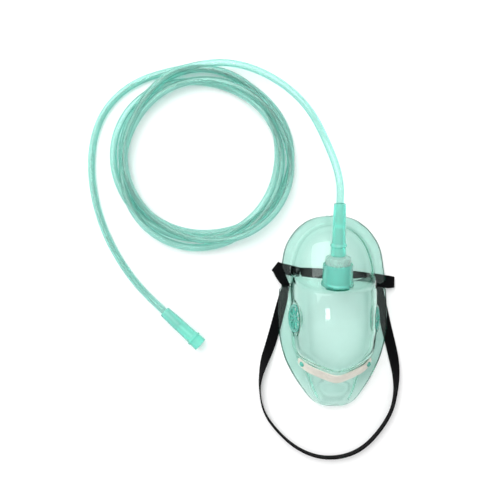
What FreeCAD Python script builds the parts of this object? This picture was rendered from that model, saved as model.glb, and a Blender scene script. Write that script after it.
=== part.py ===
# An adult oxygen face mask with its head strap and 2 m of oxygen tubing.
# Millimetres. The mask lies on its rim: +Z up, +Y towards the chin, +X to the
# side. The origin is under the middle of the mask, on the surface it lies on.
import FreeCAD, Part
import math
import os
import Sketcher

SIZES = {
    # Mask outline and rim
    "mask_length": 146.4, "nose_tip_half_width": 10.8, "rim_thickness": 1.5, "shell_wall": 1.5,
    # Chin dome
    "dome_half_width": 32.5, "dome_height": 22.0, "dome_reach": 45.5, "dome_back": 22.0,
    # Gas inlet: its axis leaves the shelf wall, tilted up from +Y
    "inlet_tilt": 15.0, "inlet_back": 22.0, "inlet_height": 34.0,
    "inlet_hole_radius": 9.0, "inlet_hole_depth": 4.0, "fit_gap": 0.05, "rest_gap": 0.15,
    # Ring, measured from the inner end of its snap lip
    "ring_snap_radius": 9.8, "ring_snap_tip_radius": 9.2, "ring_snap_length": 1.0,
    "ring_lip_start": 2.8, "ring_lip_radius": 12.0, "ring_lip_end": 3.8,
    "ring_root": 5.6, "ring_root_radius": 11.2, "ring_end": 18.5, "ring_end_radius": 10.8,
    "ring_floor": 4.1, "ring_bore_radius": 9.3, "ring_neck_radius": 7.4,
    "ring_notch_floor": 11.0, "ring_notch_width": 4.2, "ring_notches": 3,
    # Adapter in the ring, with the nipple that the tube connector pushes on to
    "adapter_start": 2.0, "adapter_radius": 9.25, "adapter_bore_radius": 8.05,
    "adapter_roof": 16.2, "adapter_shoulder": 18.6, "adapter_cone_end": 20.2,
    "adapter_cone_radius": 5.6, "nipple_radius": 2.95, "nipple_bore_radius": 1.8,
    "nipple_taper": 38.2, "nipple_end": 39.2, "nipple_end_radius": 2.55,
    # Funnel connectors, one at each end of the tube
    "connector_start": 22.4, "connector_length": 37.8, "mouth_radius": 5.5,
    "ridge_start": 6.0, "ridge_start_radius": 5.3, "ridge_place": 7.0, "ridge_radius": 6.0,
    "waist_place": 9.0, "waist_radius": 4.95, "barrel_end": 22.0, "barrel_end_radius": 4.65,
    "sleeve_place": 22.8, "sleeve_radius": 4.75, "tail_radius": 4.25,
    "socket_radius": 3.0, "socket_depth": 22.0, "socket_taper_end": 23.0,
    "socket_flare_radius": 3.2, "socket_flare": 0.4,
    "far_turn": -42.0, "far_rise": 0.076,
    # Tube and its coil
    "tube_radius": 2.75, "tube_bore_radius": 1.9,
    "coil_centre_side": -100.0, "coil_centre_back": 117.0,
    "coil_inner_radius": 54.0, "coil_outer_radius": 73.5, "coil_height": 13.5,
    "coil_corner": 4.0, "coil_lift": 0.1,
    # Exhalation vents in the cheeks of the bulge
    "vent_side": 29.4, "vent_back": -3.8, "vent_height": 21.0, "vent_lean": 72.0,
    "vent_hole_radius": 9.4, "vent_hole_depth": 12.0, "vent_flange_radius": 10.6, "vent_flange": 1.0,
    "vent_seat_radius": 11.6, "vent_seat_out": 0.9, "vent_seat_in": 4.0,
    "vent_plug": 2.4, "vent_peg_radius": 0.9,
    "vent_peg_height": 2.0, "vent_petals": 8, "petal_inner": 3.2,
    "petal_outer": 8.2, "petal_half_in": 0.75, "petal_half_out": 2.5,
    # Nose clip and its studs
    "clip_width": 8.0, "clip_thickness": 0.8, "clip_half_span": 25.0,
    "clip_tilt": 38.0, "clip_front": 47.0, "clip_apex": 31.0, "clip_depth": 45.0,
    "stud_side": 22.0, "stud_radius": 2.1,
    "stud_shank_radius": 1.0, "stud_shank": 2.4, "stud_hole_radius": 1.1,
    # Elastic head strap and the slots it passes through
    "strap_thickness": 1.0,
    "slot_side": 35.7, "slot_back": 20.0, "slot_length": 6.8, "slot_width": 2.6,
    "slot_half_depth": 10.0,
}

# Half-width of the rim's outline, from the nose tip to the chin.
RIM_OUTLINE = [(-62.9, 20.1), (-48.6, 30.1), (-34.3, 37.0), (-20.0, 40.3), (-5.7, 41.6),
               (16.0, 40.7), (34.6, 38.75), (50.0, 36.0), (60.2, 30.2), (68.7, 22.0), (72.2, 13.5)]
# Height of the rim's underside along the mask: it stands on the chin and on
# both cheeks, and arches over the bridge of the nose and over the strap.
RIM_HEIGHTS = [(-76.0, 8.0), (-60.0, 4.2), (-48.0, 1.4), (-38.0, 0.0), (-30.0, 0.5), (-15.0, 1.6),
               (20.0, 2.3), (37.0, 2.0), (55.0, 1.0), (76.0, 0.0)]
# The nose bulge: distance back, half-width, crown height.
BULGE_STATIONS = [(36.0, 30.0, 46.0), (14.0, 31.8, 49.5), (-10.0, 31.6, 49.5), (-24.5, 29.6, 46.0),
                  (-36.5, 25.4, 39.5), (-47.0, 20.0, 30.5), (-58.0, 13.8, 22.0), (-68.0, 9.0, 15.0)]
BULGE_FULLNESS = 2.1
ARCH_STEPS = 10
ARCH_BASE = -10.0
# Larger than the whole mask, for the blocks that cut it.
BEYOND = 120.0
# Share of the shorter run that a bend of the tube may take up.
BEND_SHARE = 0.45

# Centre line of the tube: from the connector down to the coil, and from the
# coil round to the far connector.
LEAD_ROUTE = [(0.0, 80.16, 49.59), (0.0, 92.23, 52.82), (-2.6, 106.0, 51.2), (-7.6, 121.5, 44.0),
              (-13.0, 137.0, 34.6), (-20.0, 152.0, 25.0), (-31.0, 166.0, 17.0),
              (-46.0, 178.0, 12.0), (-64.0, 186.8, 9.8), (-84.0, 190.6, 9.6), (-104.0, 188.4, 9.0)]
FAR_ROUTE = [(-131.0, 183.6, 2.9), (-147.0, 178.5, 2.9), (-162.0, 169.5, 2.9), (-174.5, 156.5, 2.9),
             (-182.5, 140.0, 2.9), (-186.0, 121.0, 2.9), (-185.6, 100.0, 2.9), (-181.5, 78.5, 2.9),
             (-174.0, 57.5, 2.9), (-163.8, 38.5, 2.9), (-151.6, 21.4, 2.9), (-138.6, 8.1, 3.3),
             (-129.3, -0.3, 4.3)]

# The strap as a run of cross-sections: centre, then half of its width.
STRAP_ROUTE = [
    ((-25.0, 29.4, 0.7), (0.9, 3.9, 0.0)), ((-36.0, 32.2, 0.7), (0.9, 3.9, 0.0)),
    ((-43.2, 33.8, 0.9), (2.6, 3.4, 0.0)), ((-44.4, 34.8, 2.8), (2.7, 3.4, 0.0)),
    ((-43.0, 33.4, 4.7), (2.7, 3.2, 0.0)), ((-40.4, 28.0, 4.9), (3.5, 1.8, 0.0)),
    ((-37.6, 22.6, 4.9), (3.1, 1.0, 0.0)), ((-36.0, 20.4, 4.2), (2.9, 0.4, 0.0)),
    ((-35.7, 20.0, 1.8), (2.9, 0.2, 0.0)), ((-35.9, 18.8, 0.7), (3.0, 0.1, 0.0)),
    ((-38.6, 8.0, 0.7), (3.8, -0.7, 0.0)), ((-43.4, -11.0, 0.7), (3.9, -1.0, 0.0)),
    ((-48.0, -26.6, 1.4), (3.8, -1.0, 0.6)), ((-52.4, -38.0, 3.1), (2.9, -0.9, 2.6)),
    ((-55.3, -48.6, 4.2), (1.0, -0.2, 3.8)), ((-56.5, -60.0, 4.1), (0.0, 0.0, 4.0)),
    ((-53.9, -75.9, 4.1), (0.0, 0.0, 4.0)), ((-46.0, -88.7, 4.1), (0.0, 0.0, 4.0)),
    ((-31.7, -103.0, 4.1), (0.0, 0.0, 4.0)), ((-15.9, -111.2, 4.1), (0.0, 0.0, 4.0)),
    ((-1.0, -113.2, 4.1), (0.0, 0.0, 4.0)), ((14.3, -110.3, 4.1), (0.0, 0.0, 4.0)),
    ((27.1, -102.4, 4.1), (0.0, 0.0, 4.0)), ((38.7, -88.6, 4.1), (0.0, 0.0, 4.0)),
    ((45.8, -75.9, 4.1), (0.0, 0.0, 4.0)), ((48.6, -62.0, 4.1), (0.4, 0.0, 3.9)),
    ((48.9, -48.6, 3.9), (2.0, 0.3, 3.4)), ((47.4, -37.0, 2.5), (3.4, 0.7, 1.9)),
    ((45.2, -26.0, 0.9), (3.8, 0.9, 0.3)), ((41.5, -11.0, 0.7), (3.9, 0.9, 0.0)),
    ((37.6, 8.0, 0.7), (3.8, 0.7, 0.0)), ((35.9, 18.8, 0.7), (3.0, 0.1, 0.0)),
    ((35.7, 20.0, 1.8), (2.9, 0.2, 0.0)), ((36.0, 20.4, 4.2), (2.9, 0.3, 0.0)),
    ((38.4, 21.0, 4.9), (2.4, 2.4, 0.0)), ((42.4, 21.6, 4.7), (0.6, 4.0, 0.0)),
    ((46.4, 22.2, 4.2), (0.0, 4.2, 0.0)), ((47.6, 22.3, 2.8), (0.0, 4.2, 0.0)),
    ((46.4, 22.6, 0.9), (0.2, 4.1, 0.0)), ((40.0, 23.8, 0.7), (0.6, 4.0, 0.0)),
    ((20.0, 26.6, 0.7), (0.5, 4.0, 0.0)), ((-8.0, 29.0, 0.7), (0.2, 4.0, 0.0)),
    ((-24.4, 29.4, 0.7), (-0.6, 4.0, 0.0))]

doc = FreeCAD.newDocument("oxygen_mask")
sheet = doc.addObject("Spreadsheet::Sheet", "Sizes")


def fill_sheet():
    for row, (name, value) in enumerate(SIZES.items(), start=1):
        sheet.set("A%d" % row, name)
        sheet.set("B%d" % row, str(value))
        sheet.setAlias("B%d" % row, name)
    doc.recompute()


def size(name):
    return float(getattr(sheet, name))


def bind(obj, **expressions):
    for prop, expression in expressions.items():
        obj.setExpression(prop, expression)


def vector(point):
    return FreeCAD.Vector(*point)


# ---------------------------------------------------------------- placements
def inlet_placement(along=0.0):
    """A frame whose Z is the inlet's axis, at a distance from the shelf wall."""
    tilt = size("inlet_tilt")
    turn = FreeCAD.Rotation(FreeCAD.Vector(1, 0, 0), tilt - 90.0)
    start = FreeCAD.Vector(0, size("inlet_back"), size("inlet_height"))
    return FreeCAD.Placement(start + turn.multVec(FreeCAD.Vector(0, 0, along)), turn)


def vent_placement(side):
    """A frame whose Z points out of one cheek; side is -1 or 1."""
    turn = FreeCAD.Rotation(FreeCAD.Vector(0, 1, 0), side * size("vent_lean"))
    place = FreeCAD.Vector(side * size("vent_side"), size("vent_back"), size("vent_height"))
    return FreeCAD.Placement(place, turn)


def clip_placement():
    """A frame whose Z runs across the nose clip's width."""
    turn = FreeCAD.Rotation(FreeCAD.Vector(1, 0, 0), size("clip_tilt") - 90.0)
    return FreeCAD.Placement(FreeCAD.Vector(0, -size("clip_front"), size("clip_apex")), turn)


# ------------------------------------------------------------------ sketches
def new_body(label):
    body = doc.addObject("PartDesign::Body", label)
    body.Label = label
    return body


def origin_plane(body, role):
    return [item for item in body.Origin.OriginFeatures if item.Role == role][0]


def new_sketch(body, name, role):
    sketch = body.newObject("Sketcher::SketchObject", name)
    sketch.AttachmentSupport = (origin_plane(body, role), [""])
    sketch.MapMode = "FlatFace"
    return sketch


def bind_corner(sketch, line, index, across, along):
    """Hold the start of one line at two expressions measured from the origin."""
    for kind, axis, expression in (("DistanceX", -2, across), ("DistanceY", -1, along)):
        if expression == "0":
            sketch.addConstraint(Sketcher.Constraint("PointOnObject", line, 1, axis))
            continue
        value = float(sketch.evalExpression(expression))
        number = sketch.addConstraint(Sketcher.Constraint(kind, -1, 1, line, 1, value))
        name = "%s%d" % (kind.lower(), index)
        sketch.renameConstraint(number, name)
        sketch.setExpression("Constraints." + name, expression)


def polygon(sketch, corners):
    """A closed outline through corners given as pairs of expressions."""
    values = [vector((float(sketch.evalExpression(a)), float(sketch.evalExpression(b)), 0.0))
              for a, b in corners]
    count = len(values)
    for index in range(count):
        sketch.addGeometry(Part.LineSegment(values[index], values[(index + 1) % count]), False)
    for index in range(count):
        sketch.addConstraint(Sketcher.Constraint("Coincident", index, 2, (index + 1) % count, 1))
    for index, (across, along) in enumerate(corners):
        bind_corner(sketch, index, index, across, along)


def circle(sketch, radius):
    sketch.addGeometry(Part.Circle(vector((0, 0, 0)), vector((0, 0, 1)), size(radius)), False)
    sketch.addConstraint(Sketcher.Constraint("Coincident", sketch.GeometryCount - 1, 3, -1, 1))
    number = sketch.addConstraint(
        Sketcher.Constraint("Radius", sketch.GeometryCount - 1, size(radius)))
    sketch.setExpression("Constraints[%d]" % number, "Sizes." + radius)


def revolved(label, corners):
    """A turned piece: a profile of (radius, height) corners round its Z axis."""
    body = new_body(label)
    sketch = new_sketch(body, label + "_profile", "XZ_Plane")
    polygon(sketch, corners)
    turn = body.newObject("PartDesign::Revolution", label + "_turned")
    turn.Profile = sketch
    turn.ReferenceAxis = (sketch, ["V_Axis"])
    turn.Angle = 360.0
    doc.recompute()
    return body


def sizes(*expressions):
    """Corner expressions, with each plain word read as a cell of the sheet."""
    corners = []
    for across, along in expressions:
        corners.append((cells(across), cells(along)))
    return corners


def cells(expression):
    words = expression.split(" ")
    return " ".join("Sizes." + word if word.isidentifier() else word for word in words)


# ------------------------------------------------------------- shell surfaces
def rim_curve(lift):
    """The rim's underside seen from the side, raised by a distance."""
    curve = Part.BSplineCurve()
    curve.interpolate([FreeCAD.Vector(0, back, height + lift) for back, height in RIM_HEIGHTS])
    return curve.toShape()


def side_slab(bottom, top):
    """A slab that runs across the whole mask between two side-view curves."""
    across = BEYOND / 2
    ends = [edge.Vertexes for edge in (bottom, top)]
    wire = Part.Wire([bottom, Part.makeLine(ends[0][1].Point, ends[1][1].Point), top,
                      Part.makeLine(ends[1][0].Point, ends[0][0].Point)])
    slab = Part.Face(wire).extrude(FreeCAD.Vector(2 * across, 0, 0))
    slab.translate(FreeCAD.Vector(-across, 0, 0))
    return slab


def low_line(height):
    return Part.makeLine((0, RIM_HEIGHTS[0][0], height), (0, RIM_HEIGHTS[-1][0], height))


def rim_outline():
    """The plan outline of the rim, as a flat face."""
    half_length = size("mask_length") / 2
    right = [vector((size("nose_tip_half_width"), -half_length, 0))]
    right += [vector((half, back, 0)) for back, half in RIM_OUTLINE]
    left = [vector((-point.x, point.y, 0)) for point in reversed(right)]
    curve = Part.BSplineCurve()
    curve.interpolate(right + [vector((0, half_length, 0))] + left)
    nose = Part.makeLine(left[-1], right[0])
    return Part.Face(Part.Wire([curve.toShape(), nose]))


def arch(back, half_width, crown, inset):
    """One closed cross-section of the bulge: a superellipse on a straight base."""
    points = []
    for step in range(ARCH_STEPS + 1):
        angle = math.pi * step / ARCH_STEPS
        across = math.copysign(abs(math.cos(angle)) ** (2 / BULGE_FULLNESS), math.cos(angle))
        up = abs(math.sin(angle)) ** (2 / BULGE_FULLNESS)
        points.append(vector(((half_width - inset) * across, back, (crown - inset) * up)))
    curve = Part.BSplineCurve()
    curve.interpolate(points)
    corners = [points[-1], vector((points[-1].x, back, ARCH_BASE)),
               vector((points[0].x, back, ARCH_BASE)), points[0]]
    sides = [Part.makeLine(corners[index], corners[index + 1]) for index in range(3)]
    return Part.Wire([curve.toShape()] + sides)


def bulge_solid(inset):
    """The nose bulge with its front ridge, cut off square to the inlet's axis."""
    stations = [arch(back, half, crown, inset) for back, half, crown in BULGE_STATIONS]
    loft = Part.makeLoft(stations, True, False)
    beyond = Part.makeBox(BEYOND, BEYOND, BEYOND, FreeCAD.Vector(-BEYOND / 2, -BEYOND / 2, 0))
    beyond.Placement = inlet_placement(-inset) * beyond.Placement
    return loft.cut(beyond)


def dome_solid(inset):
    """The low dome over the chin."""
    radii = (size("dome_half_width"), size("dome_reach"), size("dome_height"))
    ball = Part.makeSphere(1.0)
    stretch = FreeCAD.Matrix()
    stretch.scale(*[radius - inset for radius in radii])
    dome = ball.transformGeometry(stretch)
    dome.translate(FreeCAD.Vector(0, size("dome_back"), 0))
    return dome


def hood_solid(inset):
    return bulge_solid(inset).fuse(dome_solid(inset))


def shell_form():
    """The moulded hood on its flat rim, hollow and open underneath."""
    under = side_slab(low_line(-BEYOND), rim_curve(0.0))
    inside_outline = rim_outline().extrude(FreeCAD.Vector(0, 0, BEYOND))
    band = side_slab(rim_curve(0.0), rim_curve(size("rim_thickness")))
    outside = hood_solid(0.0).common(inside_outline).cut(under)
    solid = inside_outline.common(band).fuse(outside).cut(hood_solid(size("shell_wall")))
    return solid.removeSplitter()


def feature(name, shape, label=None):
    item = doc.addObject("Part::Feature", name)
    item.Shape = shape
    item.Label = label or name
    return item


# --------------------------------------------------------------------- pieces
def cylinder(name, radius, height, placement):
    item = doc.addObject("Part::Cylinder", name)
    bind(item, Radius="Sizes." + radius, Height=height)
    item.Placement = placement
    return item


def slot_box(side):
    item = doc.addObject("Part::Box", "ear_slot_%s" % ("left" if side < 0 else "right"))
    bind(item, Length="Sizes.slot_length", Width="Sizes.slot_width",
         Height="2 * Sizes.slot_half_depth")
    corner = FreeCAD.Vector(side * size("slot_side") - size("slot_length") / 2,
                            size("slot_back") - size("slot_width") / 2, -size("slot_half_depth"))
    item.Placement = FreeCAD.Placement(corner, FreeCAD.Rotation())
    return item


def mask_shell():
    """Shell with vent seats, and holes for the inlet, the vents and the strap."""
    pads = [feature("shell_form", shell_form())]
    holes = []
    for side, name in ((-1, "left"), (1, "right")):
        place = vent_placement(side)
        low = place * FreeCAD.Placement(FreeCAD.Vector(0, 0, -size("vent_seat_in")),
                                        FreeCAD.Rotation())
        pads.append(cylinder("vent_seat_" + name, "vent_seat_radius",
                             "Sizes.vent_seat_in + Sizes.vent_seat_out", low))
        deep = place * FreeCAD.Placement(FreeCAD.Vector(0, 0, -size("vent_hole_depth")),
                                         FreeCAD.Rotation())
        holes.append(cylinder("vent_hole_" + name, "vent_hole_radius",
                              "2 * Sizes.vent_hole_depth", deep))
        holes.append(slot_box(side))
    holes.append(cylinder("inlet_hole", "inlet_hole_radius", "2 * Sizes.inlet_hole_depth",
                          inlet_placement(-size("inlet_hole_depth"))))
    solid = doc.addObject("Part::MultiFuse", "shell_with_seats")
    solid.Shapes = pads
    cutters = doc.addObject("Part::MultiFuse", "shell_holes")
    cutters.Shapes = holes
    shell = doc.addObject("Part::Cut", "mask_shell")
    shell.Base = solid
    shell.Tool = cutters
    shell.Label = "mask_shell"
    doc.recompute()
    return shell


def vent_grille(side, name):
    """A round grille: plug, flange, petal-shaped holes and a middle peg."""
    body = new_body(name)
    plug = new_sketch(body, name + "_plug_outline", "XY_Plane")
    circle(plug, "vent_hole_radius")
    pad = body.newObject("PartDesign::Pad", name + "_plug")
    pad.Profile = plug
    bind(pad, Length="Sizes.vent_plug")
    pad.Reversed = True
    flange = new_sketch(body, name + "_flange_outline", "XY_Plane")
    circle(flange, "vent_flange_radius")
    disc = body.newObject("PartDesign::Pad", name + "_flange")
    disc.Profile = flange
    bind(disc, Length="Sizes.vent_flange")
    peg_outline = new_sketch(body, name + "_peg_outline", "XY_Plane")
    circle(peg_outline, "vent_peg_radius")
    peg = body.newObject("PartDesign::Pad", name + "_peg")
    peg.Profile = peg_outline
    bind(peg, Length="Sizes.vent_flange + Sizes.vent_peg_height")
    petal = new_sketch(body, name + "_petal_outline", "XY_Plane")
    polygon(petal, sizes(("petal_inner", "petal_half_in"), ("petal_outer", "petal_half_out"),
                         ("petal_outer", "0 - petal_half_out"), ("petal_inner", "0 - petal_half_in")))
    pocket = body.newObject("PartDesign::Pocket", name + "_petal")
    pocket.Profile = petal
    pocket.Type = "ThroughAll"
    pocket.Midplane = True
    doc.recompute()
    petals = body.newObject("PartDesign::PolarPattern", name + "_petals")
    petals.Originals = [pocket]
    petals.Axis = (petal, ["N_Axis"])
    petals.Angle = 360.0
    bind(petals, Occurrences="Sizes.vent_petals")
    body.Tip = petals
    seat = FreeCAD.Placement(FreeCAD.Vector(0, 0, size("vent_seat_out")), FreeCAD.Rotation())
    body.Placement = vent_placement(side) * seat
    doc.recompute()
    return body


def inlet_ring():
    """Turned ring that snaps into the shelf wall and turns in it."""
    body = revolved("inlet_ring", sizes(
        ("ring_neck_radius", "0"), ("ring_snap_tip_radius", "0"),
        ("ring_snap_radius", "ring_snap_length"),
        ("inlet_hole_radius - fit_gap", "ring_snap_length"),
        ("inlet_hole_radius - fit_gap", "ring_lip_start"), ("ring_lip_radius", "ring_lip_start"),
        ("ring_lip_radius", "ring_lip_end"), ("ring_root_radius", "ring_root"),
        ("ring_end_radius", "ring_end"), ("ring_bore_radius", "ring_end"),
        ("ring_bore_radius", "ring_floor"), ("ring_neck_radius", "ring_floor")))
    notch = new_sketch(body, "ring_notch_outline", "XY_Plane")
    polygon(notch, sizes(
        ("ring_notch_floor", "ring_notch_width / 2"), ("ring_lip_radius + 2", "ring_notch_width / 2"),
        ("ring_lip_radius + 2", "0 - ring_notch_width / 2"),
        ("ring_notch_floor", "0 - ring_notch_width / 2")))
    pocket = body.newObject("PartDesign::Pocket", "ring_notch")
    pocket.Profile = notch
    pocket.Reversed = True
    bind(pocket, Length="Sizes.ring_lip_end")
    doc.recompute()
    pattern = body.newObject("PartDesign::PolarPattern", "ring_notches")
    pattern.Originals = [pocket]
    pattern.Axis = (notch, ["N_Axis"])
    pattern.Angle = 360.0
    bind(pattern, Occurrences="Sizes.ring_notches")
    body.Tip = pattern
    body.Placement = inlet_placement(size("rest_gap") - size("ring_lip_start"))
    doc.recompute()
    return body


def inlet_adapter():
    """Cup in the ring that narrows to the nipple of the tube connector."""
    body = revolved("inlet_adapter", sizes(
        ("adapter_bore_radius", "0"), ("adapter_radius", "0"), ("adapter_radius", "adapter_shoulder"),
        ("adapter_cone_radius", "adapter_cone_end"), ("nipple_radius", "adapter_cone_end"),
        ("nipple_radius", "nipple_taper"), ("nipple_end_radius", "nipple_end"),
        ("nipple_bore_radius", "nipple_end"), ("nipple_bore_radius", "adapter_shoulder"),
        ("adapter_bore_radius", "adapter_roof")))
    body.Placement = inlet_placement(size("adapter_start"))
    return body


def tube_connector(label, placement):
    """Funnel connector: ridged mouth, waist, and the sleeve over the tube."""
    body = revolved(label, sizes(
        ("socket_radius", "socket_flare"), ("socket_flare_radius", "0"), ("mouth_radius", "0"),
        ("ridge_start_radius", "ridge_start"), ("ridge_radius", "ridge_place"),
        ("waist_radius", "waist_place"), ("barrel_end_radius", "barrel_end"),
        ("sleeve_radius", "sleeve_place"), ("tail_radius", "connector_length"),
        ("tube_bore_radius", "connector_length"), ("tube_bore_radius", "socket_taper_end"),
        ("socket_radius", "socket_depth")))
    body.Placement = placement
    doc.recompute()
    return body


def far_placement():
    """The far connector's frame: it lies on its ridge, with its mouth away from the tube."""
    tail = vector(FAR_ROUTE[-1])
    out = FreeCAD.Vector(math.cos(math.radians(size("far_turn"))),
                         math.sin(math.radians(size("far_turn"))), size("far_rise")).normalize()
    turn = FreeCAD.Rotation(FreeCAD.Vector(0, 0, 1), out * -1)
    return FreeCAD.Placement(tail + out * size("connector_length"), turn)


# ----------------------------------------------------------------- nose clip
def nose_clip():
    """An aluminium strip that follows the shell over the bridge of the nose."""
    over = feature("clip_outside", bulge_solid(-size("clip_thickness") - size("fit_gap")))
    under = feature("clip_inside", bulge_solid(-size("fit_gap")))
    band = doc.addObject("Part::Box", "clip_band")
    bind(band, Length="2 * Sizes.clip_half_span", Width="2 * Sizes.clip_depth",
         Height="Sizes.clip_width")
    corner = FreeCAD.Vector(-size("clip_half_span"), -size("clip_depth"), -size("clip_width") / 2)
    band.Placement = clip_placement() * FreeCAD.Placement(corner, FreeCAD.Rotation())
    skin = doc.addObject("Part::Cut", "clip_skin")
    skin.Base = over
    skin.Tool = under
    strip = doc.addObject("Part::Common", "clip_strip")
    strip.Base = skin
    strip.Tool = band
    holes = doc.addObject("Part::MultiFuse", "clip_holes")
    holes.Shapes = [clip_hole(-1, "left"), clip_hole(1, "right")]
    clip = doc.addObject("Part::Cut", "nose_clip")
    clip.Base = strip
    clip.Tool = holes
    clip.Label = "nose_clip"
    doc.recompute()
    return clip


def clip_point(across):
    """Point and outward direction on the clip's outer face, at a distance across."""
    outside = doc.getObject("clip_outside").Shape
    frame = clip_placement()
    middle = frame.multVec(FreeCAD.Vector(across, 0, 0))
    up = frame.Rotation.multVec(FreeCAD.Vector(0, -1, 0))
    ray = Part.makeLine(middle - up * size("clip_depth"), middle + up * size("clip_depth"))
    hits = ray.common(outside).Vertexes
    top = max(hits, key=lambda corner: corner.Point.dot(up)).Point
    near = ray.copy()
    near.translate(frame.Rotation.multVec(FreeCAD.Vector(size("rest_gap"), 0, 0)))
    beside = max(near.common(outside).Vertexes, key=lambda corner: corner.Point.dot(up)).Point
    along = (beside - top).normalize()
    out = along.cross(frame.Rotation.multVec(FreeCAD.Vector(0, 0, 1)))
    return top, out if out.dot(up) > 0 else out * -1


def clip_hole(side, name):
    """The hole that a stud passes through."""
    top, out = clip_point(side * size("stud_side"))
    turn = FreeCAD.Rotation(FreeCAD.Vector(0, 0, 1), out)
    return cylinder("clip_hole_" + name, "stud_hole_radius", "2 * Sizes.stud_shank",
                    FreeCAD.Placement(top - out * size("stud_shank"), turn))


def clip_stud(side, name):
    """A domed stud moulded on the shell, which holds one end of the clip."""
    top, out = clip_point(side * size("stud_side"))
    shank = doc.addObject("Part::Cylinder", name + "_shank")
    bind(shank, Radius="Sizes.stud_shank_radius", Height="Sizes.stud_shank")
    head = doc.addObject("Part::Sphere", name + "_dome")
    bind(head, Radius="Sizes.stud_radius", Angle1="0")
    turn = FreeCAD.Rotation(FreeCAD.Vector(0, 0, 1), out)
    shank.Placement = FreeCAD.Placement(top - out * size("stud_shank"), turn)
    head.Placement = FreeCAD.Placement(top - out * size("fit_gap"), turn)
    stud = doc.addObject("Part::Fuse", name)
    stud.Base = shank
    stud.Tool = head
    stud.Label = name
    doc.recompute()
    return stud


# ------------------------------------------------------------ tube and strap
def rounded_path(route):
    """Straight runs joined by tangent arcs, each as large as its runs allow."""
    points = [vector(point) for point in route]
    edges = []
    last = points[0]
    for before, corner, after in zip(points, points[1:], points[2:]):
        come = (corner - before).normalize()
        leave = (after - corner).normalize()
        turn = come.getAngle(leave)
        reach = BEND_SHARE * min(corner.distanceToPoint(before), corner.distanceToPoint(after))
        radius = reach / math.tan(turn / 2)
        start = corner - come * reach
        end = corner + leave * reach
        middle = corner + (leave - come).normalize() * (radius / math.cos(turn / 2) - radius)
        edges.append(Part.makeLine(last, start))
        edges.append(Part.Arc(start, middle, end).toShape())
        last = end
    edges.append(Part.makeLine(last, points[-1]))
    return Part.Wire(edges)


def tube(label, route):
    """A plain solid tube along a rounded route."""
    path = rounded_path(route)
    start = vector(route[0])
    along = (vector(route[1]) - start).normalize()
    section = Part.Wire(Part.makeCircle(size("tube_radius"), start, along))
    solid = path.makePipeShell([section], True, False)
    print("%s: length %.1f" % (label, path.Length))
    return feature(label, solid)


def tube_coil():
    """The closed outer shape of the loose coil."""
    body = revolved("tube_coil", sizes(
        ("coil_inner_radius + coil_corner", "0"), ("coil_outer_radius - coil_corner", "0"),
        ("coil_outer_radius", "coil_corner"), ("coil_outer_radius", "coil_height - coil_corner"),
        ("coil_outer_radius - coil_corner", "coil_height"),
        ("coil_inner_radius + coil_corner", "coil_height"),
        ("coil_inner_radius", "coil_height - coil_corner"), ("coil_inner_radius", "coil_corner")))
    place = FreeCAD.Vector(size("coil_centre_side"), size("coil_centre_back"), size("coil_lift"))
    body.Placement = FreeCAD.Placement(place, FreeCAD.Rotation())
    doc.recompute()
    return body


def strap_corners(centre, half_width, along):
    """The four corners of the thin rectangle across the strap."""
    flat = half_width.cross(along).normalize() * (size("strap_thickness") / 2)
    return [centre + half_width + flat, centre - half_width + flat,
            centre - half_width - flat, centre + half_width - flat]


def flat_face(corners):
    return Part.Face(Part.makePolygon(corners + corners[:1]))


def head_strap():
    """The elastic strap: under the mask, folded up through both slots, and round."""
    centres = [vector(centre) for centre, half in STRAP_ROUTE]
    halves = [vector(half) for centre, half in STRAP_ROUTE]
    last = len(centres) - 1
    sections = []
    for index, centre in enumerate(centres):
        along = centres[min(index + 1, last)] - centres[max(index - 1, 0)]
        sections.append(strap_corners(centre, halves[index], along))
    faces = [flat_face(sections[0]), flat_face(sections[-1])]
    for near, far in zip(sections, sections[1:]):
        for side in range(4):
            beside = (side + 1) % 4
            faces.append(flat_face([near[side], near[beside], far[beside]]))
            faces.append(flat_face([near[side], far[beside], far[side]]))
    skin = Part.makeShell(faces)
    solid = Part.makeSolid(skin)
    if solid.Volume < 0:
        solid.reverse()
    length = sum(a.distanceToPoint(b) for a, b in zip(centres, centres[1:]))
    print("head_strap: length %.1f, volume %.1f" % (length, solid.Volume))
    return feature("head_strap", solid)


def build():
    fill_sheet()
    pieces = [mask_shell(), vent_grille(-1, "vent_grille_left"), vent_grille(1, "vent_grille_right"),
              inlet_ring(), inlet_adapter(),
              tube_connector("tube_connector", inlet_placement(size("connector_start"))),
              nose_clip(), clip_stud(-1, "nose_clip_stud_left"), clip_stud(1, "nose_clip_stud_right"),
              tube("tube_lead", LEAD_ROUTE), tube_coil(), tube("tube_far_lead", FAR_ROUTE),
              tube_connector("far_connector", far_placement()), head_strap()]
    doc.recompute()
    return pieces


def check(pieces):
    for item in doc.Objects:
        if "Invalid" in item.State or "Error" in item.State:
            raise SystemExit("%s did not build: %s" % (item.Name, item.State))
    for piece in pieces:
        if piece.Shape.isNull() or not piece.Shape.isValid():
            raise SystemExit("%s has no valid shape" % piece.Label)


def export(pieces):
    os.makedirs("parts", exist_ok=True)
    for piece in pieces:
        piece.Shape.exportStep("parts/%s.step" % piece.Label)
        box = piece.Shape.optimalBoundingBox(False)
        print("%-22s solids %d volume %8.0f  x %.1f..%.1f  y %.1f..%.1f  z %.1f..%.1f" % (
            piece.Label, len(piece.Shape.Solids), piece.Shape.Volume, box.XMin, box.XMax,
            box.YMin, box.YMax, box.ZMin, box.ZMax))


all_pieces = build()
check(all_pieces)
export(all_pieces)
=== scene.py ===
import bpy, bmesh, math
from mathutils import Matrix, Vector
from mathutils.bvhtree import BVHTree


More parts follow.
